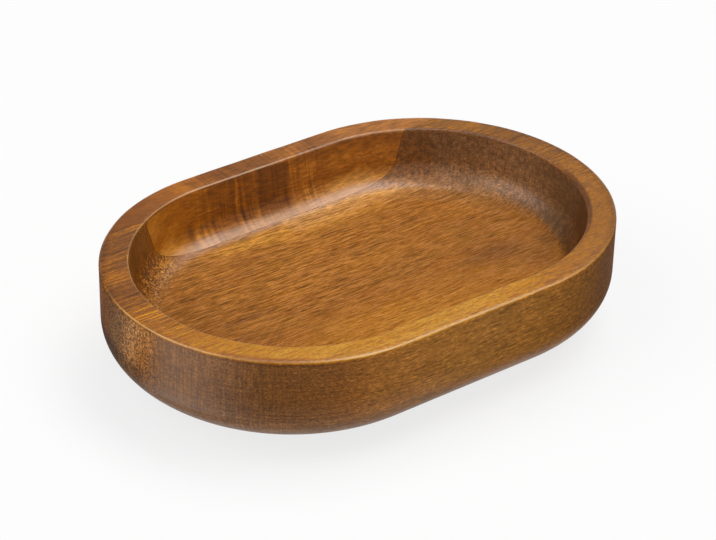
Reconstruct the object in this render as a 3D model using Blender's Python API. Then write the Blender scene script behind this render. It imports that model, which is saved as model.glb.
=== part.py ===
# Oval soap dish, carved out of a blank of two hardwood staves glued edge to edge.
# Metres, +Z up. The origin is the centre of the flat base, +X runs along the length,
# and +Y points from the wide stave in front to the narrow one behind.

import bpy
import bmesh
from math import cos, pi, radians, sin
from mathutils import Matrix, Vector

MM = 0.001

# Overall size of the dish
LENGTH = 140 * MM
WIDTH = 96 * MM
HEIGHT = 30 * MM

# Outside: a flat base, a rounded underside, an upright wall and an eased edge
UNDERSIDE_INSET = 25 * MM
UNDERSIDE_HEIGHT = 15 * MM
OUTER_EDGE_RADIUS = 1.0 * MM

# Rim and hollow: the wall leans in a little and runs into the flat floor through a cove
RIM_SIDE_WIDTH = 6.8 * MM
RIM_END_WIDTH = 7.6 * MM
INNER_EDGE_RADIUS = 0.8 * MM
FLOOR_THICKNESS = 15 * MM
WALL_LEAN = 1.0 * MM
COVE_RADIUS = 7 * MM
LARGEST_COVE_SHARE = 0.9

# Glued joint: an upright plane, not quite parallel to the length
REAR_STAVE_WIDTH = 12.3 * MM
JOINT_TURN = radians(0.6)
GLUE_THICKNESS = 0.2 * MM
GLUE_CLEARANCE = 0.3 * MM

# Number of facets
END_STEPS = 36
UNDERSIDE_STEPS = 10
EDGE_STEPS = 3
COVE_STEPS = 8

# Shading turns sharp where two faces meet at more than this
SHARP_ANGLE = radians(35)

# Finish: base colour, roughness
BOARD_FINISH = ((0.33, 0.13, 0.035), 0.42)
STAVE_FINISH = ((0.24, 0.085, 0.022), 0.40)
GLUE_FINISH = ((0.10, 0.045, 0.015), 0.50)

QUARTER_TURN = pi / 2


def quarter_angles(steps):
    """Angles from zero to a quarter turn, both included."""
    return [QUARTER_TURN * step / steps for step in range(steps + 1)]


def outer_profile():
    """Inset from the dish's outline and height, from the base up to the rim."""
    wall_top = HEIGHT - OUTER_EDGE_RADIUS
    points = []
    for angle in quarter_angles(UNDERSIDE_STEPS):
        points.append((UNDERSIDE_INSET * (1 - sin(angle)), UNDERSIDE_HEIGHT * (1 - cos(angle))))
    for angle in quarter_angles(EDGE_STEPS):
        points.append((OUTER_EDGE_RADIUS * (1 - cos(angle)), wall_top + OUTER_EDGE_RADIUS * sin(angle)))
    return points


def hollow_profile():
    """Inset from the hollow's outline and height, from the rim down to the floor."""
    wall_top = HEIGHT - INNER_EDGE_RADIUS
    cove_radius = min(COVE_RADIUS, LARGEST_COVE_SHARE * (wall_top - FLOOR_THICKNESS))
    cove_top = FLOOR_THICKNESS + cove_radius
    points = []
    for angle in quarter_angles(EDGE_STEPS):
        points.append((INNER_EDGE_RADIUS * (sin(angle) - 1), wall_top + INNER_EDGE_RADIUS * cos(angle)))
    for angle in quarter_angles(COVE_STEPS):
        points.append((WALL_LEAN + cove_radius * (1 - cos(angle)), cove_top - cove_radius * sin(angle)))
    return points


def oval_ring(mesh, half_length, half_width, inset, height):
    """A ring of vertices: two straight sides and two half-round ends, anticlockwise from above."""
    end_centre = half_length - half_width
    radius = half_width - inset
    ring = []
    for side in (1, -1):
        for step in range(END_STEPS + 1):
            angle = QUARTER_TURN * (2 * step / END_STEPS - 1)
            x = side * (end_centre + radius * cos(angle))
            y = side * radius * sin(angle)
            ring.append(mesh.verts.new((x, y, height)))
    return ring


def dish_solid():
    """The finished dish in one piece, as it would be if the blank had no joint."""
    mesh = bmesh.new()
    half_length = LENGTH / 2
    half_width = WIDTH / 2
    rings = []
    for inset, height in outer_profile():
        rings.append(oval_ring(mesh, half_length, half_width, inset, height))
    half_length -= RIM_END_WIDTH
    half_width -= RIM_SIDE_WIDTH
    for inset, height in hollow_profile():
        rings.append(oval_ring(mesh, half_length, half_width, inset, height))
    count = len(rings[0])
    for ring, following in zip(rings, rings[1:]):
        for index in range(count):
            after = (index + 1) % count
            mesh.faces.new((ring[index], ring[after], following[after], following[index]))
    mesh.faces.new(reversed(rings[0]))
    mesh.faces.new(rings[-1])
    return mesh


def joint_frame():
    """Where the joint's middle plane is: its own +Y is square to the glued faces."""
    place = Matrix.Translation((0, WIDTH / 2 - REAR_STAVE_WIDTH, 0))
    return place @ Matrix.Rotation(JOINT_TURN, 4, "Z")


def cut_off(mesh, offset, towards):
    """Cut the solid along the plane at an offset from the joint, drop what lies
    beyond it in the given direction along the joint's own Y, and close the cut."""
    frame = joint_frame()
    normal = frame.to_3x3() @ Vector((0, towards, 0))
    geometry = mesh.verts[:] + mesh.edges[:] + mesh.faces[:]
    cut = bmesh.ops.bisect_plane(mesh, geom=geometry, plane_co=frame @ Vector((0, offset, 0)),
                                 plane_no=normal, clear_outer=True)
    edges = [item for item in cut["geom_cut"] if isinstance(item, bmesh.types.BMEdge)]
    bmesh.ops.holes_fill(mesh, edges=edges, sides=0)


def finish_material(name, finish):
    """A plain dielectric with the piece's colour and roughness."""
    colour, roughness = finish
    material = bpy.data.materials.new(name)
    material.use_nodes = True
    shader = material.node_tree.nodes["Principled BSDF"]
    shader.inputs["Base Color"].default_value = (*colour, 1)
    shader.inputs["Roughness"].default_value = roughness
    shader.inputs["Metallic"].default_value = 0
    return material


def place_piece(name, solid, frame, finish, parent):
    """Turn a solid into a named object whose origin and turn are those of its frame."""
    bmesh.ops.recalc_face_normals(solid, faces=solid.faces[:])
    solid.transform(frame.inverted())
    data = bpy.data.meshes.new(name)
    solid.to_mesh(data)
    solid.free()
    data.shade_smooth()
    data.set_sharp_from_angle(angle=SHARP_ANGLE)
    data.materials.append(finish_material(name + "_finish", finish))
    piece = bpy.data.objects.new(name, data)
    bpy.context.collection.objects.link(piece)
    piece.parent = parent
    piece.location = frame.to_translation()
    piece.rotation_euler = frame.to_euler()
    return piece


def make_main_board(parent):
    """The wide stave: both ends, the floor and the front wall."""
    solid = dish_solid()
    cut_off(solid, -GLUE_THICKNESS / 2 - GLUE_CLEARANCE, 1)
    place_piece("main_board", solid, Matrix.Identity(4), BOARD_FINISH, parent)


def make_rear_stave(parent):
    """The narrow stave: most of the rear wall, with the cove's upper part in it."""
    solid = dish_solid()
    cut_off(solid, GLUE_THICKNESS / 2 + GLUE_CLEARANCE, -1)
    place_piece("rear_stave", solid, joint_frame(), STAVE_FINISH, parent)


def make_glue_line(parent):
    """The cured film that holds the two staves together, flush with their surfaces."""
    solid = dish_solid()
    cut_off(solid, GLUE_THICKNESS / 2, 1)
    cut_off(solid, -GLUE_THICKNESS / 2, -1)
    place_piece("glue_line", solid, joint_frame(), GLUE_FINISH, parent)


def main():
    for item in list(bpy.data.objects):
        bpy.data.objects.remove(item, do_unlink=True)
    dish = bpy.data.objects.new("soap_dish", None)
    bpy.context.collection.objects.link(dish)
    make_main_board(dish)
    make_rear_stave(dish)
    make_glue_line(dish)


main()
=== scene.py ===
from collections import namedtuple
from math import cos, pi, radians, sin

import bmesh
import bpy
from mathutils import Matrix, Vector, noise


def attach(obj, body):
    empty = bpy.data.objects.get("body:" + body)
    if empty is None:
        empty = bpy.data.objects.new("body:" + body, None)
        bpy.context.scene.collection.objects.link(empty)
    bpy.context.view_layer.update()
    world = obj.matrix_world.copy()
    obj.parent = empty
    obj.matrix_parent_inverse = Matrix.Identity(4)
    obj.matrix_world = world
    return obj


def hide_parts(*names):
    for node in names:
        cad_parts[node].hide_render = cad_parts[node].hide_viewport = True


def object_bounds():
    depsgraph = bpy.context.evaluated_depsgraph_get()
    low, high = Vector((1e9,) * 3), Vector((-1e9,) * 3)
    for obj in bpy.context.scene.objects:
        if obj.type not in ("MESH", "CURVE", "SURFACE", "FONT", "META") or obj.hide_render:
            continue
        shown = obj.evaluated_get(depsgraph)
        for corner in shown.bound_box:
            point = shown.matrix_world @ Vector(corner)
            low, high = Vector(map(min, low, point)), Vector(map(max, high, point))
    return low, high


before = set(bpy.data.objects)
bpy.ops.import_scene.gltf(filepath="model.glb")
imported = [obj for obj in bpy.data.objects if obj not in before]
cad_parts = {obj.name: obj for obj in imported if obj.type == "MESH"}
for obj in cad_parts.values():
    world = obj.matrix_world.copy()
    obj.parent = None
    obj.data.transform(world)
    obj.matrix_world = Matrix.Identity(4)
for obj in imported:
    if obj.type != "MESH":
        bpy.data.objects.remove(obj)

CAD_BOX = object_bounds()

MM = 0.001

# Sizes of the dish that the frame doesn't name, as in the part's own source
UNDERSIDE_INSET = 25 * MM
UNDERSIDE_HEIGHT = 15 * MM
OUTER_EDGE_RADIUS = 1.0 * MM
RIM_SIDE_WIDTH = 6.8 * MM
RIM_END_WIDTH = 7.6 * MM
INNER_EDGE_RADIUS = 0.8 * MM
FLOOR_THICKNESS = 15 * MM
WALL_LEAN = 1.0 * MM
COVE_RADIUS = 7 * MM
REAR_STAVE_WIDTH = 12.3 * MM
JOINT_TURN = radians(0.6)

# The joint as it looks: a dark hairline between the staves
SEAM_THICKNESS = 0.06 * MM
SEAM_CLEARANCE = 0.01 * MM

# The edges were eased by hand, so their rounding swells and thins along the rim
EASING_SHARE = 0.3
EASING_LENGTH = 9 * MM

# Fineness of the meshes
END_STEPS = 120
SIDE_STEPS = 24
UNDERSIDE_STEPS = 24
WALL_STEPS = 8
EDGE_STEPS = 6
COVE_STEPS = 18
SHARP_ANGLE = radians(40)

QUARTER_TURN = pi / 2


def dish_sizes():
    """Length, width and height of the dish, from the frame."""
    low, high = CAD_BOX
    return high[0] - low[0], high[1] - low[1], high[2] - low[2]


LENGTH, WIDTH, HEIGHT = dish_sizes()
MIDDLE_REACH = (LENGTH - WIDTH) / 2


def quarter_angles(steps):
    """Angles from zero to a quarter turn, both included."""
    return [QUARTER_TURN * step / steps for step in range(steps + 1)]


def between(first, last, steps):
    """Points on the straight line between two profile points, ends left out."""
    points = []
    for step in range(1, steps):
        share = step / steps
        points.append(tuple(a + (b - a) * share for a, b in zip(first, last)))
    return points


def easing(point):
    """How much of the full edge radius was sanded at a point of the rim."""
    return 1 - EASING_SHARE * (0.5 + 0.5 * noise.noise(point / EASING_LENGTH))


def outer_profile(eased):
    """Inset from the dish's outline and height, from the base up to the rim."""
    radius = OUTER_EDGE_RADIUS * eased
    underside = [(UNDERSIDE_INSET * (1 - sin(a)), UNDERSIDE_HEIGHT * (1 - cos(a)))
                 for a in quarter_angles(UNDERSIDE_STEPS)]
    edge = [(radius * (1 - cos(a)), HEIGHT + radius * (sin(a) - 1))
            for a in quarter_angles(EDGE_STEPS)]
    return underside + between(underside[-1], edge[0], WALL_STEPS) + edge


def hollow_profile(eased):
    """Inset from the hollow's outline and height, from the rim down to the floor."""
    radius = INNER_EDGE_RADIUS * eased
    cove_top = FLOOR_THICKNESS + COVE_RADIUS
    edge = [(radius * (sin(a) - 1), HEIGHT + radius * (cos(a) - 1))
            for a in quarter_angles(EDGE_STEPS)]
    cove = [(WALL_LEAN + COVE_RADIUS * (1 - cos(a)), cove_top - COVE_RADIUS * sin(a))
            for a in quarter_angles(COVE_STEPS)]
    return edge + between(edge[-1], cove[0], WALL_STEPS) + cove


def oval_outline(half_length, half_width):
    """Points of an oval with half-round ends, each with its outward direction, anticlockwise from above."""
    outline = []
    for side in (1, -1):
        centre = Vector((side * (half_length - half_width), 0, 0))
        for step in range(END_STEPS + 1):
            angle = QUARTER_TURN * (2 * step / END_STEPS - 1)
            outward = side * Vector((cos(angle), sin(angle), 0))
            outline.append((centre + half_width * outward, outward))
        outward = Vector((0, side, 0))
        for step in range(1, SIDE_STEPS):
            outline.append((centre * (1 - 2 * step / SIDE_STEPS) + half_width * outward, outward))
    return outline


def add_rings(mesh, outline, profile):
    """A ring of corners round the outline for each place on the profile."""
    columns = []
    for point, outward in outline:
        places = profile(easing(point))
        columns.append([mesh.verts.new(point - inset * outward + Vector((0, 0, height)))
                        for inset, height in places])
    return list(zip(*columns))


def dish_solid():
    """The whole dish as one closed mesh, before it is divided along the joint."""
    mesh = bmesh.new()
    half_length = LENGTH / 2
    half_width = WIDTH / 2
    rings = add_rings(mesh, oval_outline(half_length, half_width), outer_profile)
    inner = oval_outline(half_length - RIM_END_WIDTH, half_width - RIM_SIDE_WIDTH)
    rings += add_rings(mesh, inner, hollow_profile)
    count = len(rings[0])
    for ring, following in zip(rings, rings[1:]):
        for index in range(count):
            after = (index + 1) % count
            mesh.faces.new((ring[index], ring[after], following[after], following[index]))
    mesh.faces.new(reversed(rings[0]))
    mesh.faces.new(rings[-1])
    return mesh


def cut_off(mesh, offset, towards):
    """Cut off the rear (1) or the front (-1) along a plane beside the joint, and close the cut."""
    joint = Matrix.Translation((0, WIDTH / 2 - REAR_STAVE_WIDTH, 0))
    joint = joint @ Matrix.Rotation(JOINT_TURN, 4, "Z")
    place = joint @ Vector((0, offset, 0))
    outward = joint.to_3x3() @ Vector((0, towards, 0))
    geometry = mesh.verts[:] + mesh.edges[:] + mesh.faces[:]
    cut = bmesh.ops.bisect_plane(mesh, geom=geometry, plane_co=place, plane_no=outward, clear_outer=True)
    edges = [item for item in cut["geom_cut"] if isinstance(item, bmesh.types.BMEdge)]
    bmesh.ops.holes_fill(mesh, edges=edges, sides=0)


def add_piece(name, solid, node, material):
    """Make a piece from a closed mesh, in place of a node of the frame."""
    bmesh.ops.recalc_face_normals(solid, faces=solid.faces[:])
    data = bpy.data.meshes.new(name)
    solid.to_mesh(data)
    solid.free()
    data.shade_smooth()
    data.set_sharp_from_angle(angle=SHARP_ANGLE)
    data.materials.append(material)
    piece = bpy.data.objects.new(name, data)
    bpy.context.scene.collection.objects.link(piece)
    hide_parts(node)
    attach(piece, "root")


class Number:
    """A number that a node puts out. Plain arithmetic with it adds more nodes."""

    def __init__(self, nodes, socket):
        self.nodes = nodes
        self.socket = socket

    def __add__(self, other):
        return self.nodes.math("ADD", self, other)

    def __radd__(self, other):
        return self.nodes.math("ADD", other, self)

    def __sub__(self, other):
        return self.nodes.math("SUBTRACT", self, other)

    def __rsub__(self, other):
        return self.nodes.math("SUBTRACT", other, self)

    def __mul__(self, other):
        return self.nodes.math("MULTIPLY", self, other)

    def __truediv__(self, other):
        return self.nodes.math("DIVIDE", self, other)

    def span(self, low, high, to_low=0.0, to_high=1.0):
        """A smooth step from to_low where this number is low to to_high where it is high."""
        inputs = {0: self, 1: low, 2: high, 3: to_low, 4: to_high}
        return self.nodes.number("MapRange", inputs, interpolation_type="SMOOTHSTEP")

    def hill(self, foot, top, end, last):
        """1 where this number is between top and end, fading to 0 at foot and at last."""
        return self.span(foot, top) * self.span(last, end)

    def factor(self, full):
        """A factor of 1 where this share is 0, and of full where it is 1."""
        return self.span(0, 1, 1.0, full)

    def blend(self, first, second):
        """The first value where this share is 0, and the second where it is 1."""
        return self.nodes.number("MapRange", {0: self, 3: first, 4: second})


class Nodes:
    """Adds nodes to the tree of a material or of the world."""

    def __init__(self, owner):
        owner.use_nodes = True
        self.tree = owner.node_tree

    def node(self, kind, inputs, **settings):
        """A new node with its inputs filled, by their number or name."""
        made = self.tree.nodes.new("ShaderNode" + kind)
        for key, value in settings.items():
            setattr(made, key, value)
        self.fill(made, inputs)
        return made

    def fill(self, made, inputs):
        """Link each input to the output given for it, or set it to the plain value."""
        for key, value in inputs.items():
            if isinstance(value, Number):
                value = value.socket
            if isinstance(value, bpy.types.NodeSocket):
                self.tree.links.new(value, made.inputs[key])
            else:
                made.inputs[key].default_value = value

    def number(self, kind, inputs, output=0, **settings):
        """The number that a new node puts out."""
        return Number(self, self.node(kind, inputs, **settings).outputs[output])

    def math(self, operation, first, second=0.0):
        return self.number("Math", {0: first, 1: second}, operation=operation)

    def axes(self, where):
        """The three coordinates of a place or a direction."""
        split = self.node("SeparateXYZ", {0: where})
        return [Number(self, socket) for socket in split.outputs]

    def ramp(self, value, stops):
        """The colour at a value between 0 and 1, from pairs of a value and the colour there."""
        made = self.node("ValToRGB", {0: value})
        elements = made.color_ramp.elements
        while len(elements) < len(stops):
            elements.new(0.5)
        for element, (position, colour) in zip(elements, stops):
            element.position = position
            element.color = colour
        return made.outputs[0]


# A pattern of noise: its lengths along x, y and z, how many finer layers it has and how strong they are
Pattern = namedtuple("Pattern", "lengths layers strength")

# The four numbers that a hill takes, and those of a span with what it goes from and to
Hill = namedtuple("Hill", "foot top end last")
Change = namedtuple("Change", "low high to_low to_high")

# Noise seldom leaves this range, and each part of its colour lies round the middle
NOISE_RANGE = (0.3, 0.7)
NOISE_MIDDLE = (0.5, 0.5, 0.5)


class Shade(Nodes):
    """One material of the dish. Its places and lengths are in millimetres."""

    def __init__(self, name):
        self.material = bpy.data.materials.new(name)
        super().__init__(self.material)
        metres = self.node("TexCoord", {}).outputs["Object"]
        self.place = self.vector("DIVIDE", metres, (MM, MM, MM))

    def vector(self, operation, first, second):
        return self.node("VectorMath", {0: first, 1: second}, operation=operation).outputs[0]

    def combined(self, x=0.0, y=0.0, z=0.0):
        """A place, or any other three numbers together."""
        return self.node("CombineXYZ", {0: x, 1: y, 2: z}).outputs[0]

    def noise_node(self, where, pattern):
        inputs = {"Vector": self.vector("DIVIDE", where, pattern.lengths), "Scale": 1.0,
                  "Detail": pattern.layers, "Roughness": pattern.strength}
        return self.node("TexNoise", inputs)

    def noise(self, where, pattern):
        """Uneven patches between about 0.3 and 0.7."""
        return Number(self, self.noise_node(where, pattern).outputs["Fac"])

    def patches(self, where, pattern):
        """Uneven patches between -1 and 1."""
        return self.noise(where, pattern).span(*NOISE_RANGE, -1.0, 1.0)

    def bump(self, height, depth):
        """The normal of a surface that a height of 1 raises by this depth."""
        return self.node("Bump", {"Height": height, "Distance": depth * MM, "Strength": 1.0}).outputs[0]

    def finish(self, **inputs):
        """The material, with its shader's own sockets set. Names are in lower case with underscores."""
        named = {}
        for key, value in inputs.items():
            named[key.replace("_", " ").title().replace("Ior", "IOR")] = value
        self.fill(self.tree.nodes["Principled BSDF"], named)
        return self.material


# The dish in millimetres, for the places in its materials
HALF_WIDTH = WIDTH / 2 / MM
HALF_STRAIGHT = MIDDLE_REACH / MM
TOP = HEIGHT / MM
FLOOR_TOP = FLOOR_THICKNESS / MM

# How the parts of the surface fade into each other: the rim with the depth below the top, the outer wall
# with the distance in from the outline, and the underside with the depth below the floor
RIM_FADE = (0.9, 0.4)
OUTER_WALL_FADE = (0.6, 0.1)
UNDERSIDE_FADE = (0.5, 1.0)

# Where the pale band on an eased edge is: how far its surface faces upwards, and the depth below the top
EASED_RISE = Hill(0.5, 0.66, 0.84, 0.94)
EASED_DEPTH = (1.3, 1.0)

# How unevenly the pale edges show, their wear and their painted highlight
WEAR_AND_HIGHLIGHT_PATCHES = Pattern((7, 7, 7), 2, 0.5)
WEAR_AND_HIGHLIGHT_RANGE = Change(0.3, 0.6, 0.7, 1.0)

# Colours that the wood is tinted with. The first two are multiplied by the tone of the place.
ASHEN = (1.0, 0.46, 0.16)
GOLDEN = (1.0, 0.40, 0.035)
# The pale of the eased edges: partly wear, partly a painted highlight
WEAR_HIGHLIGHT_COLOUR = (0.74, 0.46, 0.18, 1)

# Roughness of the coat that the oil makes, and how strongly the wood below reflects
OIL_ROUGHNESS = 0.32
WOOD_SPECULAR = 0.15

# A mark goes through the whole thickness, and has its full change within this share of its size
MARK_THICKNESS = 1000
MARK_CORE = 0.2


class Wood(Shade):
    """Wood of the dish: the parts of its surface, and ways to give it tone and figure.

    The tone of a place is how light its wood is, measured as the red of its colour. Where a share of the
    surface is given by x, y, z, the way round or the distance off the middle, these are in millimetres.
    """

    def __init__(self, name):
        super().__init__(name)
        self.x, self.y, self.z = self.axes(self.place)
        self.normal = self.node("TexCoord", {}).outputs["Normal"]
        self.past_end = self.math("MAXIMUM", self.math("ABSOLUTE", self.x) - HALF_STRAIGHT, 0.0)
        self.off_middle = self.length(self.combined(self.past_end, self.y))
        self.under_top = TOP - self.z
        self.rim = self.under_top.span(*RIM_FADE)
        outer_wall = (HALF_WIDTH - self.off_middle).span(*OUTER_WALL_FADE)
        underside = (FLOOR_TOP - self.z).span(*UNDERSIDE_FADE)
        self.outside = self.math("MAXIMUM", outer_wall, underside)
        self.within = 1.0 - self.outside

    def length(self, vector):
        return self.number("VectorMath", {0: vector}, output="Value", operation="LENGTH")

    def way_round(self):
        """Way round the outer wall from the middle of its front, less than zero to the left."""
        turn = self.math("ARCTAN2", self.past_end, self.y * -1.0)
        straight = self.math("MINIMUM", self.math("ABSOLUTE", self.x), HALF_STRAIGHT)
        return self.math("SIGN", self.x) * (straight + turn * HALF_WIDTH)

    def eased_edge_wear_and_highlight(self):
        """1 along the eased edges of the rim, which are paler: partly wear, partly a painted highlight.
        Uneven as they were sanded by hand.
        """
        rise = self.axes(self.normal)[2]
        eased = rise.hill(*EASED_RISE) * self.under_top.span(*EASED_DEPTH)
        return eased * self.noise(self.place, WEAR_AND_HIGHLIGHT_PATCHES).span(*WEAR_AND_HIGHLIGHT_RANGE)

    def wander(self, where, lengths, reach):
        """Where, moved unevenly by part of reach, so that straight bands run a little wavy."""
        colour = self.noise_node(where, Pattern(lengths, layers=1, strength=0.5)).outputs["Color"]
        centred = self.vector("SUBTRACT", colour, NOISE_MIDDLE)
        return self.vector("ADD", where, self.vector("MULTIPLY", centred, reach))

    def bands(self, value, reach, tones):
        """The tone at a value between -reach and reach, from pairs of a value and the tone there."""
        share = self.number("MapRange", {0: value, 1: -reach, 2: reach})
        stops = [((at / reach + 1) / 2, (tone, tone, tone, 1)) for at, tone in tones]
        return Number(self, self.ramp(share, stops))

    def marks(self, where, marks):
        """The sum of soft oval marks, each with its centre, half sizes and change of tone."""
        total = 0.0
        for x, y, half_length, half_width, change in marks:
            moved = self.vector("SUBTRACT", where, (x, y, 0))
            away = self.length(self.vector("DIVIDE", moved, (half_length, half_width, MARK_THICKNESS)))
            total = away.span(1.0, MARK_CORE, 0.0, change) + total
        return total

    def dashes(self, where, lengths, size):
        """1 in dashes along the grain, each within a cell of these lengths."""
        inputs = {"Vector": self.vector("DIVIDE", where, lengths), "Scale": 1.0}
        return self.number("TexVoronoi", inputs, output="Distance").span(size, size / 2)

    def shaded(self, colour, factor):
        """A colour made lighter or darker by a factor."""
        return self.vector("MULTIPLY", colour, self.combined(factor, factor, factor))

    def mix(self, share, first, second):
        """A mix of two colours. Inputs 6 and 7 and output 2 are the node's sockets for colours."""
        return self.node("Mix", {0: share, 6: first, 7: second}, data_type="RGBA").outputs[2]

    def tinted(self, tone, colours, ash):
        """The colour of wood of this tone, partly turned a greyer brown, which in the coves is the pale of
        a painted highlight.
        """
        lightest = colours[-1][0]
        stops = [(red / lightest, (red, green, blue, 1)) for red, green, blue in colours]
        return self.mix(ash, self.ramp(tone / lightest, stops), self.shaded(ASHEN, tone))

    def oiled_wood(self, colour, roughness, normal, oiled):
        """The finished material. Oiled is the weight of the coat that the oil makes."""
        return self.finish(base_color=colour, roughness=roughness, normal=normal, coat_weight=oiled,
                           coat_normal=normal, coat_roughness=OIL_ROUGHNESS,
                           specular_ior_level=WOOD_SPECULAR)


# Colours of the board's wood from dark to light
BOARD_COLOURS = [
    (0.06, 0.015, 0.001), (0.19, 0.058, 0.002), (0.245, 0.076, 0.002), (0.30, 0.095, 0.002),
    (0.37, 0.120, 0.002), (0.44, 0.155, 0.003), (0.53, 0.218, 0.007), (0.70, 0.35, 0.04),
]

# Growth bands on the rim, from front to rear, at its left and at its right
RIM_REACH = 50
LEFT_RIM = [
    (-48, 0.49), (-44, 0.52), (-38, 0.58), (-30, 0.53), (-24, 0.49), (-15, 0.43), (-10, 0.36),
    (-4, 0.37), (3, 0.335), (6, 0.26), (10, 0.17), (13, 0.27), (16, 0.39), (18, 0.32), (21, 0.26),
    (24, 0.29), (29, 0.20), (31, 0.19), (32.6, 0.22), (33.6, 0.36), (36, 0.38),
]
RIGHT_RIM = [
    (-48, 0.355), (-40, 0.345), (-34, 0.33), (-26, 0.32), (-12, 0.335), (0, 0.30), (12, 0.24),
    (20, 0.235), (28, 0.31), (36, 0.34),
]

# The lists from here to the floor go by the way round the outer wall from the middle of its front, less
# than zero to the left. It comes to 173 where the rear's straight side begins.
ROUND_REACH = 175

# Tones of the outer wall, of the hollow's wall and of the underside. End grain is darker than side grain.
OUTER_WALL = [
    (-150, 0.24), (-115, 0.15), (-107, 0.14), (-101, 0.19), (-96, 0.36), (-92, 0.33), (-86, 0.21),
    (-76, 0.222), (-69, 0.195), (-61, 0.175), (-52, 0.178), (-42, 0.20), (-36, 0.245), (-30, 0.30),
    (-4, 0.32), (4, 0.33), (18, 0.32), (28, 0.26), (40, 0.17), (48, 0.12), (70, 0.13), (110, 0.20),
    (150, 0.24),
]
HOLLOW_WALL = [
    (-165, 0.26), (-150, 0.20), (-141, 0.15), (-133, 0.135), (-125, 0.20), (-112, 0.14), (-100, 0.16),
    (-60, 0.25), (0, 0.28), (50, 0.13), (65, 0.10), (77, 0.11), (88, 0.145), (96, 0.19), (107, 0.27),
    (118, 0.30), (128, 0.26), (142, 0.22), (149, 0.24),
]
UNDERSIDE = [
    (-150, 0.20), (-130, 0.18), (-112, 0.11), (-95, 0.18), (-80, 0.22), (-62, 0.25), (-50, 0.23),
    (-35, 0.20), (-15, 0.205), (0, 0.20), (12, 0.22), (45, 0.21), (60, 0.15), (120, 0.15),
]

# The outer wall's bands lean: how far they move round with each millimetre above this height
LEAN = 0.35
LEAN_HEIGHT = 26

# Factors on these tones: at the foot of the left cove, high up at the right of the hollow, in the cove
# at the rear right where a highlight is painted, low down at the far left of the outer wall, and along the
# rim's darkened inner edge
COVE_FOOT_FACTOR = 1.5
TOP_RIGHT_FACTOR = 0.84
REAR_HIGHLIGHT_FACTOR = 1.35
FAR_LEFT_FACTOR = 0.48
DARK_INNER_FACTOR = 0.45

# How pale and grey the painted highlight on the floor at its rear right is, how far the outer wall is a
# greyer brown, and a factor on the greyer brown in the hollow beside the joint
FLOOR_HIGHLIGHT_GREY = 0.45
JOINT_ASH_FACTOR = 0.5
OUTER_ASH = [
    (-112, 0.0), (-104, 1.0), (-96, 1.0), (-90, 0.4), (-84, 0.6), (-60, 0.48), (-34, 0.35), (4, 0.7),
    (22, 0.4), (34, 0.15), (60, 0.0),
]

# How pale the rim's outer edge is: partly rubbed, partly a painted highlight
OUTER_EDGE_WEAR_AND_HIGHLIGHT = [
    (-112, 0.0), (-99, 0.55), (-78, 0.7), (-66, 0.3), (-52, 0.2), (-44, 0.5), (-34, 1.0), (-10, 0.75),
    (20, 0.7), (30, 0.45), (40, 0.3), (56, 0.06), (120, 0.0),
]

# How far the rim is darkened along its inner edge
DARK_INNER_EDGE = [
    (20, 0.0), (36, 0.2), (48, 0.45), (60, 0.85), (68, 1.0), (84, 1.0), (94, 0.3), (112, 0.1),
    (124, 0.5), (136, 0.75), (148, 0.75), (156, 0.0),
]

# Factors on the tone of the rim beside its outer edge
OUTER_EDGE = [
    (-112, 0.72), (-104, 0.9), (-88, 0.85), (-76, 0.95), (-66, 0.75), (-58, 0.62), (-48, 0.66),
    (-40, 1.0), (34, 1.0), (46, 0.8), (60, 0.75), (120, 0.9),
]

# Figure of the floor: centre, half length, half width and change of tone
FLOOR_TONE = 0.36
FLOOR_MARKS = [
    (-35, 17.5, 9, 1.6, -0.08), (-18, 24, 12, 2.2, -0.06), (-24, 20, 13, 3, -0.05),
    (34, 33, 8, 4, 0.1), (-34, 2, 11, 2.2, -0.08), (-26, -2, 10, 2.5, -0.04),
    (29, 17, 15, 2.2, -0.06), (35, -9, 15, 6, -0.09), (8, 7, 17, 6, 0.05), (-15, 6, 15, 5, 0.04),
    (-16, 31, 14, 4, 0.06), (12, 32, 50, 7, 0.155), (45, 0, 20, 26, -0.04), (-45, 12, 12, 14, -0.04),
    (-42, -8, 16, 20, -0.05), (-10, -22, 40, 18, 0.06), (46, -17, 14, 11, -0.05),
    (-21, 33, 9, 4, 0.04), (2, 30, 6, 3, -0.06), (53, -11, 5, 5, -0.08),
]

# Patterns along and across the board's grain
BOARD_WAVES = (60, 30, 20)
CROSSWISE_SWAY = (0, 3, 3)
BROAD_PATCHES = Pattern((80, 12, 10), 2, 0.5)
LONG_STREAKS = Pattern((38, 1.4, 1.4), 3, 0.6)
GROWTH_RINGS = Pattern((40, 0.8, 0.8), 2, 0.6)
BOARD_FIBRES = Pattern((5.5, 0.42, 0.42), 2, 0.7)
SHORT_FIBRES = Pattern((1.1, 0.4, 0.4), 1, 0.5)
GOLDEN_PATCHES = Pattern((16, 6, 6), 1, 0.5)

# Patterns of the end grain and of the cove's ragged foot
END_SPECKS = Pattern((0.6, 0.55, 0.6), 2, 0.7)
END_MOTTLES = Pattern((2.2, 1.6, 1.2), 2, 0.5)
RAGGED_FOOT = Pattern((3, 1.2, 1.2), 2, 0.5)

# Patterns that go by the way round the wall and by height: streaks that stand upright, the fine lines that
# sanding left across the grain, and the level ones under them
UPRIGHT_STREAKS = Pattern((0.7, 1, 4), 2, 0.5)
UPRIGHT_LINES = Pattern((0.6, 1, 10), 1, 0.5)
LEVEL_LINES = Pattern((12, 1, 0.5), 2, 0.5)

# Open pores and light flecks: the cell that each lies in, its size as a share of the cell, and a shift that
# keeps one pattern off the others
SHORT_PORES = (4.5, 0.6, 0.6)
LONG_PORES = (8, 0.8, 0.8)
LONG_PORES_SHIFT = (9, 5, 7)
PORE_SIZE = 0.36
LIGHT_FLECKS = (2.4, 0.45, 0.45)
LIGHT_FLECKS_SHIFT = (3, 5, 7)
FLECK_SIZE = 0.38

# About the share of a surface that such dashes cover. It is taken off, so that they keep the mean tone.
DASH_COVER = 0.15

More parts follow.
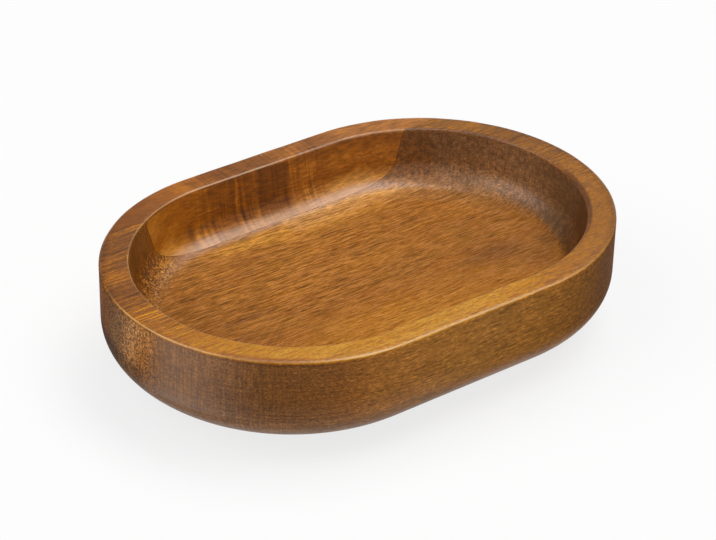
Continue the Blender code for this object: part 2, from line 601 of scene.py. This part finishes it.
# How strongly each pattern shows, as a share of the tone, where it shows fully
PATCH_DEPTH = 0.06
STREAK_DEPTH = 0.05
RIM_STREAK_DEPTH = 0.08
UPRIGHT_LINE_DEPTH = 0.2
LEVEL_LINE_DEPTH = 0.26
COVE_SPECK_DEPTH = 0.65
OUTER_MOTTLE_DEPTH = 0.13
HOLLOW_MOTTLE_DEPTH = 0.24
LEFT_SPECK_DEPTH = 0.3
RIGHT_SPECK_DEPTH = 0.1
RIM_FIBRE_DEPTH = 0.42
FRONT_RIM_FIBRE_DEPTH = 0.08
OUTER_FIBRE_DEPTH = 0.18
SHORT_FIBRE_DEPTH = 0.2
FLOOR_SHORT_FIBRE_DEPTH = 0.14

# Factors on the fibres in front and in the calm part of the hollow's wall, right of its left end
FRONT_FIBRE_FACTOR = 0.65
CALM_FIBRE_FACTOR = 0.6

# How golden the floor's rear, the front wall and the rim's right end are
GOLDEN_REAR = 0.3
GOLDEN_WALL = 0.6
GOLDEN_RIM = 0.4

# Weight of the oil's coat where the left of the outer wall is polished and in the sheen round the top of
# the outer curve, how much of it the pale edges (worn, and with a painted highlight) and pores lose, and
# how much the hollow's end grain soaks up
POLISHED_COAT = 0.7
SHEEN_COAT = 0.3
WEAR_AND_HIGHLIGHT_LOSS = 0.45
PORE_LOSS = 0.6
LEFT_LOSS = 0.65
RIGHT_LOSS = 0.35
FRONT_RIGHT_LOSS = 0.4

# Roughness of the board, how much less it is in light streaks, and how much more where the wood is dry
BOARD_ROUGHNESS = 0.4
STREAK_SMOOTHNESS = 0.04
DRY_ROUGHNESS = 0.4

# Relief of the board: its depth, how far fibres and specks rise and pores sink as shares of it, and a
# factor on it in the calm part of the hollow's wall
BOARD_BUMP = 0.03
FIBRE_RISE = 0.3
SPECK_RISE = 0.3
PORE_DROP = 0.4
CALM_RELIEF = 0.35

# Where the looks of the board are. The end of a name says what it goes by: an axis, the distance off the
# middle (OFF) or the way round (WAY). A pair is where the look begins and where it is complete. A Hill is
# complete from its top to its end. A Change also has what the look changes from and to.
COVE_OFF = (34.5, 37)
RIGHT_X = (20, 40)
FRONT_Y = (0, -12)
BELOW_Z = (14.5, 9)
LEFT_COVE_X = (-30, -38)
LEFT_COVE_OFF = (30, 35)
LEFT_COVE_Z = (22, 18)
BESIDE_JOINT_X = Hill(30, 35, 45, 49)
CALM_X = (-30, -10)
DARK_INNER_OFF = (42.2, 41.4)
POLISHED_WAY = Hill(-94, -80, -76, -56)
POLISHED_Z = (11, 14)
INNER_WEAR_AND_HIGHLIGHT_X = (30, 15)
OUTER_WEAR_AND_HIGHLIGHT_OFF = (43, 45)

# How far a surface faces left or right where end grain begins and where it is complete, the range of the
# specks' noise, and how pale the rim's inner edge is, partly rubbed and partly a painted highlight
END_FACING = (0.2, 0.7)
SPECK_RANGE = (0.32, 0.68)
INNER_WEAR_AND_HIGHLIGHT = 0.4

# The same for the tone by place: where the rim's right bands take over, the low part of the hollow's wall,
# lighter as a painted highlight, the foot of the left cove, the top right of the hollow, the outer wall's
# left, its far left, the painted highlight in the cove at the rear right and the strip of the rim beside
# its outer edge
RIGHT_RIM_X = (5, 40)
LOW_HOLLOW_HIGHLIGHT_Z = Change(23, 18, 1.0, 1.3)
COVE_FOOT_Z = (19, 16)
TOP_RIGHT_Z = (23, 27)
TOP_RIGHT_WAY = (84, 94)
LEFT_WALL_WAY = (0, -20)
LEFT_WALL_Z = Change(17, 27, 0.95, 1.12)
FAR_LEFT_WAY = Hill(-132, -114, -96, -88)
FAR_LEFT_Z = (19, 15)
REAR_HIGHLIGHT_Z = (18, 16)
REAR_HIGHLIGHT_WAY = (126, 140)
REAR_HIGHLIGHT_OFF = (33, 35)
OUTER_STRIP_OFF = (45.5, 47)
OUTER_STRIP_Z = (28.4, 29.0)

# The same for growth rings and for the lines that sanding left
GROWTH_RING_Y = (-28, -10)
GROWTH_RING_X = Change(-20, -45, 0.0, 0.32)
UPRIGHT_LINE_WAY = Hill(-100, -84, -60, -44)
LEVEL_LINE_WAY = (-90, -74)
FRONT_LINE_WAY = Change(-40, -5, 1.0, 0.5)
LEVEL_LINE_Z = Change(26, 14, 0.5, 1.0)

# The same for how strongly pores, fibres, specks, mottles, upright streaks and flecks show. The depth of
# the floor's pores goes by how far in front they are.
FLOOR_PORE_DEPTH = Change(0, 1, -0.42, -0.3)
FLOOR_PORE_X = Change(-26, -12, 0.72, 1.0)
PORE_WAY = Change(-30, 0, -0.24, -0.34)
FIBRE_X = Change(-15, 20, 0.48, 0.36)
FRONT_RIM_Y = (-4, -24)
OUTER_SPECK_WAY = Change(-84, -90, 0.12, 0.64)
REAR_SPECK_WAY = Change(-130, -114, 0.5, 1.0)
MOTTLE_WAY = Hill(-98, -84, -60, -40)
UPRIGHT_STREAK_X = Change(-50, -30, 0.5, 0.15)
FLECK_WAY = Change(-60, -30, 0.4, 0.5)

# The same for greyer and for more golden wood, and for the pale foot of the painted highlight on the floor
# at the rear right. Specks, fibres and patches are greyer or golden where they are light.
GREY_WALL_WAY = Change(64, 86, 0.1, 1.0)
BELOW_ASH_WAY = Change(-30, 10, 0.9, 0.4)
ASHEN_SPECKS = (-0.3, 0.7)
ASHEN_SPECK_Z = Change(19, 16, 0.0, 0.4)
ASHEN_FIBRES = Change(-0.2, 1.0, 0.0, 0.3)
FLOOR_HIGHLIGHT_OFF = (26, 33)
FLOOR_HIGHLIGHT_WAY = (100, 125)
GOLDEN_RANGE = Change(0.35, 0.7, 0.0, 0.25)
GOLDEN_REAR_Y = (24, 31)
GOLDEN_REAR_X = (5, -10)
GOLDEN_WALL_WAY = (-45, -5)
GOLDEN_RIGHT_WAY = Change(60, 25, 0.4, 1.0)

# The same for the oil and for dry wood. The oil shines by how light the wood is.
SHEEN_Z = Hill(10, 13, 13, 20)
SHEEN_WAY = (-100, -88)
RIGHT_SHEEN_WAY = (-20, 5)
RIGHT_SHEEN_Z = Change(16, 10, 0.0, 0.1)
SHINE = Change(0.7, 1.3, 0.55, 1.0)
LEFT_LOSS_X = (-44, -52)
RIGHT_LOSS_X = (45, 55)
FRONT_RIGHT_LOSS_WAY = Hill(40, 55, 72, 84)
DRY_Z = (9, 14)


class BoardWood(Wood):
    """Wood of the wide board, which has the floor, both ends and the front wall."""

    def __init__(self):
        super().__init__("board_wood")
        self.around = self.way_round()
        self.upright = self.combined(self.around, z=self.z)
        self.grain = self.wander(self.place, BOARD_WAVES, CROSSWISE_SWAY)
        self.place_parts()
        self.place_patterns()

    def place_parts(self):
        """Shares from 0 to 1 that say where a part of the surface is."""
        inside = 1.0 - self.math("MAXIMUM", self.outside, self.rim)
        cove = (self.off_middle + self.noise(self.place, RAGGED_FOOT)).span(*COVE_OFF)
        self.hollow = cove * inside
        self.floor = (1.0 - cove) * inside
        self.right = self.x.span(*RIGHT_X)
        self.in_front = self.y.span(*FRONT_Y)
        self.ends = self.math("ABSOLUTE", self.axes(self.normal)[0]).span(*END_FACING)
        self.below = self.z.span(*BELOW_Z)
        self.left_cove = self.x.span(*LEFT_COVE_X) * self.off_middle.span(*LEFT_COVE_OFF) * inside
        self.left_cove = self.left_cove * self.z.span(*LEFT_COVE_Z)
        self.beside_joint = self.hollow * self.x.hill(*BESIDE_JOINT_X)
        self.calm = self.hollow * self.x.span(*CALM_X)
        # The rim darkened along its inner edge
        dark_inner_edge = self.bands(self.around, ROUND_REACH, DARK_INNER_EDGE)
        self.dark_inner_edge = dark_inner_edge * self.rim * self.off_middle.span(*DARK_INNER_OFF)
        polished = self.outside * self.around.hill(*POLISHED_WAY) * self.z.span(*POLISHED_Z)
        self.polished = polished * POLISHED_COAT
        # The rim's eased edges are pale: partly wear, partly a painted highlight
        outer_wear_and_highlight = self.bands(self.around, ROUND_REACH, OUTER_EDGE_WEAR_AND_HIGHLIGHT)
        inner_wear_and_highlight = self.x.span(*INNER_WEAR_AND_HIGHLIGHT_X) * INNER_WEAR_AND_HIGHLIGHT
        self.wear_and_highlight = self.eased_edge_wear_and_highlight() * self.off_middle.span(*OUTER_WEAR_AND_HIGHLIGHT_OFF).blend(inner_wear_and_highlight, outer_wear_and_highlight)

    def place_patterns(self):
        """Patterns that more than one look of the surface goes by."""
        self.streaks = self.patches(self.grain, LONG_STREAKS)
        self.fibres = self.patches(self.grain, BOARD_FIBRES)
        self.specks = self.noise(self.place, END_SPECKS).span(*SPECK_RANGE, -1.0, 1.0)
        long_pores = self.vector("ADD", self.grain, LONG_PORES_SHIFT)
        self.pores = self.math("MAXIMUM", self.dashes(self.grain, SHORT_PORES, PORE_SIZE),
                               self.dashes(long_pores, LONG_PORES, PORE_SIZE))

    def slanted(self, tones):
        """Tones round the outer wall in bands that lean as they rise."""
        return self.bands(self.around - (self.z - LEAN_HEIGHT) * LEAN, ROUND_REACH, tones)

    def rim_tone(self):
        side = self.axes(self.grain)[1]
        left = self.bands(side, RIM_REACH, LEFT_RIM)
        right = self.bands(side, RIM_REACH, RIGHT_RIM)
        return self.x.span(*RIGHT_RIM_X).blend(left, right)

    def hollow_tone(self):
        # Low on the hollow's wall the tone is raised: a painted highlight in the cove
        tone = self.bands(self.around, ROUND_REACH, HOLLOW_WALL) * self.z.span(*LOW_HOLLOW_HIGHLIGHT_Z)
        foot = self.left_cove * self.z.span(*COVE_FOOT_Z)
        top_right = self.z.span(*TOP_RIGHT_Z) * self.around.span(*TOP_RIGHT_WAY)
        return tone * foot.factor(COVE_FOOT_FACTOR) * top_right.factor(TOP_RIGHT_FACTOR)

    def outer_tone(self):
        lower = self.bands(self.around, ROUND_REACH, UNDERSIDE)
        tone = self.below.blend(self.slanted(OUTER_WALL), lower)
        tone = tone * self.around.span(*LEFT_WALL_WAY).blend(1.0, self.z.span(*LEFT_WALL_Z))
        far_left = self.around.hill(*FAR_LEFT_WAY) * self.z.span(*FAR_LEFT_Z)
        return tone * far_left.factor(FAR_LEFT_FACTOR)

    def figured_tone(self):
        """The tone by place, before all that is finer."""
        tone = self.marks(self.grain, FLOOR_MARKS) + FLOOR_TONE
        tone = self.hollow.blend(tone, self.hollow_tone())
        # The cove at the rear right is lighter: a painted highlight, running on from the stave's cove
        rear_cove_highlight = self.within * self.z.span(*REAR_HIGHLIGHT_Z) * self.around.span(*REAR_HIGHLIGHT_WAY)
        rear_cove_highlight = rear_cove_highlight * self.off_middle.span(*REAR_HIGHLIGHT_OFF)
        tone = self.outside.blend(tone * rear_cove_highlight.factor(REAR_HIGHLIGHT_FACTOR), self.outer_tone())
        tone = self.rim.blend(tone, self.rim_tone()) * self.dark_inner_edge.factor(DARK_INNER_FACTOR)
        outer_strip = self.off_middle.span(*OUTER_STRIP_OFF) * self.z.span(*OUTER_STRIP_Z)
        return tone * outer_strip.blend(1.0, self.bands(self.around, ROUND_REACH, OUTER_EDGE))

    def streaked(self, tone):
        """The tone with patches, streaks, growth rings on the rim, and sanding lines outside."""
        streak_depth = (1.0 - self.ends) * self.rim.blend(STREAK_DEPTH, RIM_STREAK_DEPTH)
        ring_depth = self.rim * self.y.span(*GROWTH_RING_Y) * self.x.span(*GROWTH_RING_X)
        upright_depth = (1.0 - self.rim) * self.around.hill(*UPRIGHT_LINE_WAY) * UPRIGHT_LINE_DEPTH
        level_depth = self.outside * self.around.span(*LEVEL_LINE_WAY) * self.around.span(*FRONT_LINE_WAY)
        level_depth = level_depth * self.z.span(*LEVEL_LINE_Z) * LEVEL_LINE_DEPTH
        tone = tone * (1.0 + self.patches(self.grain, BROAD_PATCHES) * PATCH_DEPTH)
        tone = tone * (1.0 + self.streaks * streak_depth)
        tone = tone * (1.0 + self.patches(self.grain, GROWTH_RINGS) * ring_depth)
        tone = tone * (1.0 + self.patches(self.upright, UPRIGHT_LINES) * upright_depth)
        return tone * (1.0 + self.patches(self.upright, LEVEL_LINES) * level_depth)

    def with_pores(self, tone):
        """The tone with open pores, and with the specks of end grain in the left cove."""
        floor_depth = self.in_front.span(*FLOOR_PORE_DEPTH) * self.x.span(*FLOOR_PORE_X)
        depth = self.floor.blend(self.around.span(*PORE_WAY), floor_depth)
        depth = depth * (1.0 - self.left_cove)
        tone = tone * (1.0 + depth * (self.pores - DASH_COVER))
        return tone * (1.0 + self.specks * self.left_cove * COVE_SPECK_DEPTH)

    def fibre_depth(self):
        """How strongly the fibres show."""
        inner = self.x.span(*FIBRE_X) * self.in_front.factor(FRONT_FIBRE_FACTOR)
        inner = inner * self.calm.factor(CALM_FIBRE_FACTOR)
        depth = self.outside.blend(self.rim.blend(inner, RIM_FIBRE_DEPTH), OUTER_FIBRE_DEPTH)
        depth = (self.rim * self.y.span(*FRONT_RIM_Y)).blend(depth, FRONT_RIM_FIBRE_DEPTH)
        return depth * (1.0 - self.left_cove)

    def speck_depth(self):
        """How strongly the specks of end grain show."""
        inner = self.right.blend(LEFT_SPECK_DEPTH, RIGHT_SPECK_DEPTH)
        depth = self.outside.blend(inner, self.around.span(*OUTER_SPECK_WAY))
        depth = depth * self.outside.blend(1.0, self.around.span(*REAR_SPECK_WAY))
        return depth * self.ends * (1.0 - self.beside_joint)

    def lightness(self):
        """Fine light and dark detail as a factor of about 1."""
        short_fibres = self.patches(self.grain, SHORT_FIBRES)
        mottle_depth = self.outside * self.around.hill(*MOTTLE_WAY) * OUTER_MOTTLE_DEPTH
        mottle_depth = mottle_depth + self.hollow * self.right * HOLLOW_MOTTLE_DEPTH
        upright_depth = self.hollow * self.x.span(*UPRIGHT_STREAK_X)
        shifted = self.vector("ADD", self.grain, LIGHT_FLECKS_SHIFT)
        flecks = self.dashes(shifted, LIGHT_FLECKS, FLECK_SIZE)
        fleck_depth = self.outside * self.around.span(*FLECK_WAY)
        lightness = 1.0 + self.fibres * self.fibre_depth()
        short_depth = self.floor.blend(SHORT_FIBRE_DEPTH, FLOOR_SHORT_FIBRE_DEPTH)
        lightness = lightness * (1.0 + short_fibres * short_depth)
        lightness = lightness * (1.0 + self.specks * self.speck_depth())
        lightness = lightness * (1.0 + self.patches(self.place, END_MOTTLES) * mottle_depth)
        lightness = lightness * (1.0 + self.patches(self.upright, UPRIGHT_STREAKS) * upright_depth)
        return lightness * (1.0 + fleck_depth * (flecks - DASH_COVER))

    def ash(self):
        """Where the wood looks greyer, and where the floor's rear right turns pale as a painted highlight.
        """
        grey_wall = self.hollow * self.right * self.beside_joint.factor(JOINT_ASH_FACTOR)
        grey_wall = grey_wall * self.around.span(*GREY_WALL_WAY)
        outer = self.below.blend(self.slanted(OUTER_ASH), self.around.span(*BELOW_ASH_WAY))
        ash = self.outside.blend(grey_wall, outer) * (1.0 - self.rim)
        light_specks = self.left_cove * self.specks.span(*ASHEN_SPECKS) * self.z.span(*ASHEN_SPECK_Z)
        light_fibres = self.floor * self.fibres.span(*ASHEN_FIBRES)
        # The floor's foot at the rear right turns pale: a painted highlight running on from the cove
        foot = self.floor * self.off_middle.span(*FLOOR_HIGHLIGHT_OFF) * self.around.span(*FLOOR_HIGHLIGHT_WAY)
        return ash + light_specks + light_fibres + foot * FLOOR_HIGHLIGHT_GREY

    def golden(self):
        """Where the wood looks more golden."""
        patches = self.noise(self.grain, GOLDEN_PATCHES).span(*GOLDEN_RANGE)
        rear = self.y.span(*GOLDEN_REAR_Y) * self.x.span(*GOLDEN_REAR_X)
        front_wall = self.outside * (1.0 - self.rim) * self.around.span(*GOLDEN_WALL_WAY)
        front_wall = front_wall * self.around.span(*GOLDEN_RIGHT_WAY)
        golden = self.floor * (patches + rear * GOLDEN_REAR) + front_wall * GOLDEN_WALL
        return (golden + self.rim * self.right * GOLDEN_RIM) * (1.0 - self.dark_inner_edge)

    def oiled(self, lightness):
        """The weight of the coat that the oil makes."""
        sheen = self.z.hill(*SHEEN_Z) * self.around.span(*SHEEN_WAY) * SHEEN_COAT
        sheen = self.around.span(*RIGHT_SHEEN_WAY).blend(sheen, self.z.span(*RIGHT_SHEEN_Z))
        oiled = self.within + self.polished + self.outside * sheen
        shine = lightness.span(*SHINE) * (1.0 - self.pores * PORE_LOSS)
        oiled = oiled * self.floor.blend(1.0, shine)
        lost = self.x.span(*LEFT_LOSS_X) * LEFT_LOSS + self.x.span(*RIGHT_LOSS_X) * RIGHT_LOSS
        lost = lost + self.around.hill(*FRONT_RIGHT_LOSS_WAY) * FRONT_RIGHT_LOSS
        return (oiled - self.hollow * lost) * (1.0 - self.wear_and_highlight * WEAR_AND_HIGHLIGHT_LOSS)

    def made(self):
        """The finished material."""
        tone = self.with_pores(self.streaked(self.figured_tone()))
        lightness = self.lightness()
        colour = self.tinted(tone, BOARD_COLOURS, self.ash())
        colour = self.mix(self.golden(), colour, self.shaded(GOLDEN, tone))
        # Paint the pale eased edges: partly wear, partly a painted highlight
        colour = self.mix(self.wear_and_highlight, self.shaded(colour, lightness), WEAR_HIGHLIGHT_COLOUR)
        height = self.fibres * FIBRE_RISE - self.pores * PORE_DROP
        height = height + self.ends * self.specks * SPECK_RISE
        normal = self.bump(height * self.calm.factor(CALM_RELIEF), BOARD_BUMP)
        dry = self.outside * self.z.span(*DRY_Z) * (1.0 - self.polished)
        roughness = BOARD_ROUGHNESS - self.streaks * STREAK_SMOOTHNESS + dry * DRY_ROUGHNESS
        return self.oiled_wood(colour, roughness, normal, self.oiled(lightness))


# Colours of the stave's wood from dark to light
STAVE_COLOURS = [
    (0.08, 0.020, 0.001), (0.24, 0.070, 0.002), (0.36, 0.108, 0.002), (0.46, 0.148, 0.003),
    (0.70, 0.31, 0.04),
]

# Tones of the stave by x: on its rim, and on its walls, where its figure stands upright
STAVE_REACH = 60
STAVE_RIM = [
    (-60, 0.20), (-52, 0.20), (-42, 0.25), (-36, 0.27), (-30, 0.33), (-26, 0.41), (-23, 0.35),
    (-20, 0.37), (-18.5, 0.26), (-14, 0.22), (-6, 0.23), (-1, 0.26), (2, 0.30), (5, 0.345), (9, 0.34),
    (13, 0.27), (18, 0.29), (22, 0.36), (50, 0.43),
]
STAVE_WALL = [
    (-60, 0.34), (-44, 0.42), (-40, 0.47), (-30, 0.43), (-27, 0.36), (-22, 0.40), (-20.3, 0.48),
    (-19.2, 0.30), (-17, 0.28), (-13, 0.25), (-11.6, 0.20), (-10.7, 0.46), (-9.8, 0.22), (-8.4, 0.33),
    (-7.6, 0.23), (-6.8, 0.31), (-5.6, 0.22), (-4.6, 0.29), (-3.4, 0.21), (0, 0.22), (5.4, 0.20),
    (6.6, 0.47), (7.8, 0.42), (8.6, 0.32), (10, 0.45), (14, 0.43), (17, 0.36), (20, 0.46), (28, 0.48),
    (33, 0.43), (40, 0.46), (60, 0.46),
]

# Upright fingers of darker and lighter wood low on its inner wall: x, height, half sizes and change of tone
STAVE_MARKS = [
    (-9.5, 17.5, 3, 3.5, -0.14), (-26.2, 18, 1.2, 4, -0.16), (-22.9, 18, 0.9, 4, -0.16),
    (-20.8, 17.5, 0.8, 4, -0.14), (-18.8, 18, 0.9, 4.5, -0.1), (-24.4, 17, 0.9, 4, 0.1),
    (-21.8, 17, 0.7, 4, 0.08),
]

# Patterns of the stave
STAVE_WAVES = (40, 12, 12)
FIGURE_WAVES = (2.5, 5, 5)
FIGURE_SWAY = (1.6, 0, 0)
STAVE_FIBRES = Pattern((3, 0.6, 0.6), 2, 0.65)
FINE_BANDS = Pattern((0.8, 16, 16), 3, 0.6)
STAVE_CLOUDS = Pattern((6, 4, 2.5), 3, 0.5)

# Tone of the painted highlight in the cove, where the light catches it, and factors: high up at the right
# of the inner wall, on the fibres, the relief and the oil of the cove, and on the oil above it
COVE_HIGHLIGHT_TONE = 0.58
STAVE_TOP_RIGHT_FACTOR = 0.72
COVE_FIBRE_FACTOR = 0.5
COVE_RELIEF_FACTOR = 0.4
COVE_OIL_FACTOR = 0.7
ABOVE_COVE_OIL_FACTOR = 0.6

# How pale and grey the painted highlight in the cove is
COVE_HIGHLIGHT_GREY = 0.9

STAVE_ROUGHNESS = 0.5
STAVE_BUMP = 0.01

# Where the looks of the stave are, as for the board: its cove, the low part of its wall and the cove's
# foot, which are lighter as a painted highlight, the top right of its inner wall, its fine bands and
# clouds, greyer wood, fibres, pale edges (worn, with a painted highlight), and the oil above and in the
# cove. Depths go by how far in the cove a place is.
STAVE_COVE_Z = (17.8, 16.2)
STAVE_LOW_HIGHLIGHT_Z = Change(20, 16, 1.0, 1.5)
STAVE_HIGHLIGHT_FOOT_Z = (18, 16)
STAVE_HIGHLIGHT_FOOT_X = Change(-20, -8, 0.2, 0.75)
STAVE_TOP_Z = (25.5, 28.5)
STAVE_TOP_X = (2, 14)
FINE_BAND_X = Hill(-27, -21, 12, 20)
FINE_BAND_DEPTH = Change(0, 1, 0.26, 0.1)
CLOUD_DEPTH = Change(0, 1, 0.14, 0.08)
STAVE_ASH_X = Change(-15, 5, 0.0, 0.12)
STAVE_RIM_ASH_X = Change(0, 30, 0.0, 0.2)
STAVE_FIBRE_X = Change(-30, -20, 0.18, 0.3)
STAVE_WEAR_AND_HIGHLIGHT_X = Change(-4, 12, 0.45, 0.1)
ABOVE_COVE_Z = Hill(16, 17.5, 20, 23)
DULL_X = Hill(-24, -14, 6, 14)


class StaveWood(Wood):
    """Wood of the narrow rear stave, with its figure across the grain."""

    def __init__(self):
        super().__init__("stave_wood")
        self.across = self.axes(self.wander(self.place, FIGURE_WAVES, FIGURE_SWAY))[0]
        self.fibres = self.patches(self.wander(self.place, STAVE_WAVES, CROSSWISE_SWAY), STAVE_FIBRES)
        self.in_cove = self.within * self.z.span(*STAVE_COVE_Z)

    def wall_tone(self):
        # Low on the wall the tone is raised, and at the cove's foot it turns to the light tone of a painted
        # highlight
        tone = self.bands(self.across, STAVE_REACH, STAVE_WALL) * self.z.span(*STAVE_LOW_HIGHLIGHT_Z)
        tone = tone + self.marks(self.combined(self.across, self.z), STAVE_MARKS)
        foot = self.z.span(*STAVE_HIGHLIGHT_FOOT_Z) * self.x.span(*STAVE_HIGHLIGHT_FOOT_X)
        top_right = self.within * self.z.span(*STAVE_TOP_Z) * self.x.span(*STAVE_TOP_X)
        return foot.blend(tone, COVE_HIGHLIGHT_TONE) * top_right.factor(STAVE_TOP_RIGHT_FACTOR)

    def figured_tone(self):
        """The tone by place, with fine upright bands in the middle and clouds all over."""
        tone = self.rim.blend(self.wall_tone(), self.bands(self.across, STAVE_REACH, STAVE_RIM))
        band_depth = self.x.hill(*FINE_BAND_X) * self.in_cove.span(*FINE_BAND_DEPTH)
        cloud_depth = self.in_cove.span(*CLOUD_DEPTH)
        tone = tone * (1.0 + self.patches(self.place, FINE_BANDS) * band_depth)
        return tone * (1.0 + self.patches(self.place, STAVE_CLOUDS) * cloud_depth)

    def made(self):
        """The finished material."""
        # In the cove the wood turns pale and grey: the colour of a painted highlight
        ash = self.in_cove.blend(self.x.span(*STAVE_ASH_X), COVE_HIGHLIGHT_GREY)
        ash = ash + self.rim * self.x.span(*STAVE_RIM_ASH_X)
        colour = self.tinted(self.figured_tone(), STAVE_COLOURS, ash)
        fibre_depth = self.x.span(*STAVE_FIBRE_X) * self.in_cove.factor(COVE_FIBRE_FACTOR)
        colour = self.shaded(colour, 1.0 + self.fibres * fibre_depth)
        # The stave's eased edges are pale: partly wear, partly a painted highlight
        wear_and_highlight = self.eased_edge_wear_and_highlight() * self.x.span(*STAVE_WEAR_AND_HIGHLIGHT_X)
        colour = self.mix(wear_and_highlight, colour, WEAR_HIGHLIGHT_COLOUR)
        normal = self.bump(self.fibres * self.in_cove.factor(COVE_RELIEF_FACTOR), STAVE_BUMP)
        above_cove = self.z.hill(*ABOVE_COVE_Z)
        dull = self.in_cove * self.x.hill(*DULL_X)
        oiled = self.within * above_cove.factor(ABOVE_COVE_OIL_FACTOR) * dull.factor(COVE_OIL_FACTOR)
        return self.oiled_wood(colour, STAVE_ROUGHNESS, normal, oiled)


GLUE_FLECKS = Pattern((2, 2, 2), 2, 0.5)
GLUE_COLOURS = [(0.3, (0.10, 0.040, 0.012, 1)), (0.7, (0.16, 0.062, 0.018, 1))]
GLUE_ROUGHNESS = 0.5
GLUE_BUMP = 0.01


def cured_glue():
    shade = Shade("cured_glue")
    fleck = shade.noise(shade.place, GLUE_FLECKS)
    return shade.finish(base_color=shade.ramp(fleck, GLUE_COLOURS), roughness=GLUE_ROUGHNESS,
                        normal=shade.bump(fleck, GLUE_BUMP))


def make_pieces():
    half_seam = SEAM_THICKNESS / 2
    board = dish_solid()
    cut_off(board, -half_seam - SEAM_CLEARANCE, 1)
    add_piece("board", board, "main_board", BoardWood().made())
    stave = dish_solid()
    cut_off(stave, half_seam + SEAM_CLEARANCE, -1)
    add_piece("stave", stave, "rear_stave", StaveWood().made())
    seam = dish_solid()
    cut_off(seam, half_seam, 1)
    cut_off(seam, -half_seam, -1)
    add_piece("seam", seam, "glue_line", cured_glue())


# Camera, as fitted to the outline of the dish in the photograph
IMAGE_WIDTH = 716
SENSOR_WIDTH = 36
FOCAL_PIXELS = 2613.9
VIEW_AZIMUTH = radians(-37.33)
VIEW_ELEVATION = radians(31.66)
VIEW_ROLL = radians(1.19)
VIEW_DISTANCE = 679.3 * MM
VIEW_SIDEWAYS = -0.53 * MM
VIEW_UPWARDS = 15.42 * MM
VIEW_REACH = 100


def make_camera():
    back = Vector((sin(VIEW_AZIMUTH) * cos(VIEW_ELEVATION), -cos(VIEW_AZIMUTH) * cos(VIEW_ELEVATION),
                   sin(VIEW_ELEVATION)))
    right = Vector((0, 0, 1)).cross(back).normalized()
    turn = Matrix.Rotation(VIEW_ROLL, 3, back)
    right = turn @ right
    up = back.cross(right)
    data = bpy.data.cameras.new("camera")
    data.sensor_width = SENSOR_WIDTH
    data.lens = FOCAL_PIXELS * SENSOR_WIDTH / IMAGE_WIDTH
    data.clip_end = VIEW_REACH
    camera = bpy.data.objects.new("camera", data)
    place = Matrix((right, up, back)).transposed().to_4x4()
    place.translation = back * VIEW_DISTANCE + right * VIEW_SIDEWAYS + up * VIEW_UPWARDS
    camera.matrix_world = place
    bpy.context.scene.collection.objects.link(camera)
    bpy.context.scene.camera = camera


# The floor of the studio: half its side in metres, and how it looks
FLOOR_REACH = 30
FLOOR_GREY = (0.85, 0.85, 0.85, 1)
FLOOR_WHITE_SHARE = 0.78


def floor_paint():
    """Pale and matt. Where it is seen, most of its colour is plain white; the rest shows the shadow."""
    material = bpy.data.materials.new("floor_paint")
    paint = Nodes(material)
    rays = paint.node("LightPath", {}).outputs
    seen = paint.math("MAXIMUM", rays["Is Camera Ray"], rays["Is Glossy Ray"])
    seen = paint.math("MAXIMUM", seen, rays["Is Transmission Ray"])
    matt = paint.node("BsdfDiffuse", {"Color": FLOOR_GREY}).outputs[0]
    white = paint.node("Emission", {"Strength": 1.0}).outputs[0]
    surface = paint.node("MixShader", {0: seen * FLOOR_WHITE_SHARE, 1: matt, 2: white}).outputs[0]
    paint.fill(paint.tree.nodes["Material Output"], {"Surface": surface})
    return material


def make_floor():
    mesh = bpy.data.meshes.new("floor")
    corners = [(-FLOOR_REACH, -FLOOR_REACH, 0), (FLOOR_REACH, -FLOOR_REACH, 0),
               (FLOOR_REACH, FLOOR_REACH, 0), (-FLOOR_REACH, FLOOR_REACH, 0)]
    mesh.from_pydata(corners, [], [(0, 1, 2, 3)])
    floor = bpy.data.objects.new("floor", mesh)
    bpy.context.scene.collection.objects.link(floor)
    mesh.materials.append(floor_paint())


# Lamps: the direction of each, how wide it looks and how strong it is. The first are two softboxes.
KEY_DIRECTIONS = [(0.38, 0.18, 0.90), (0.38, -0.24, 0.89)]
KEY_WIDTH = radians(32)
KEY_STRENGTH = 0.95
SIDE_DIRECTION = (-0.74, 0.28, 0.61)
SIDE_WIDTH = radians(52)
SIDE_STRENGTH = 1.1
FRONT_DIRECTION = (-0.1, -0.80, 0.60)
FRONT_WIDTH = radians(90)
FRONT_STRENGTH = 0.5

# How light the room is, from the level of the floor (0) to straight overhead (1)
ROOM_LIGHT = [(0.0, 0.85), (0.12, 0.85), (0.2, 0.08), (0.55, 0.09), (1.0, 0.40)]


def add_lamp(name, direction, width, strength):
    data = bpy.data.lights.new(name, "SUN")
    data.angle = width
    data.energy = strength
    lamp = bpy.data.objects.new(name, data)
    lamp.rotation_euler = Vector(direction).to_track_quat("Z", "Y").to_euler()
    lamp.location = direction
    bpy.context.scene.collection.objects.link(lamp)


def make_light():
    for number, direction in enumerate(KEY_DIRECTIONS, 1):
        add_lamp(f"softbox_{number}", direction, KEY_WIDTH, KEY_STRENGTH)
    add_lamp("side_light", SIDE_DIRECTION, SIDE_WIDTH, SIDE_STRENGTH)
    add_lamp("front_light", FRONT_DIRECTION, FRONT_WIDTH, FRONT_STRENGTH)
    world = bpy.data.worlds.new("studio")
    bpy.context.scene.world = world
    room = Nodes(world)
    direction = room.node("TexCoord", {}).outputs["Generated"]
    levels = [(rise, (level, level, level, 1)) for rise, level in ROOM_LIGHT]
    light = room.ramp(room.axes(direction)[2], levels)
    room.fill(room.tree.nodes["Background"], {"Color": light})


make_camera()
make_pieces()
make_floor()
make_light()
bpy.context.scene.view_settings.view_transform = "Standard"
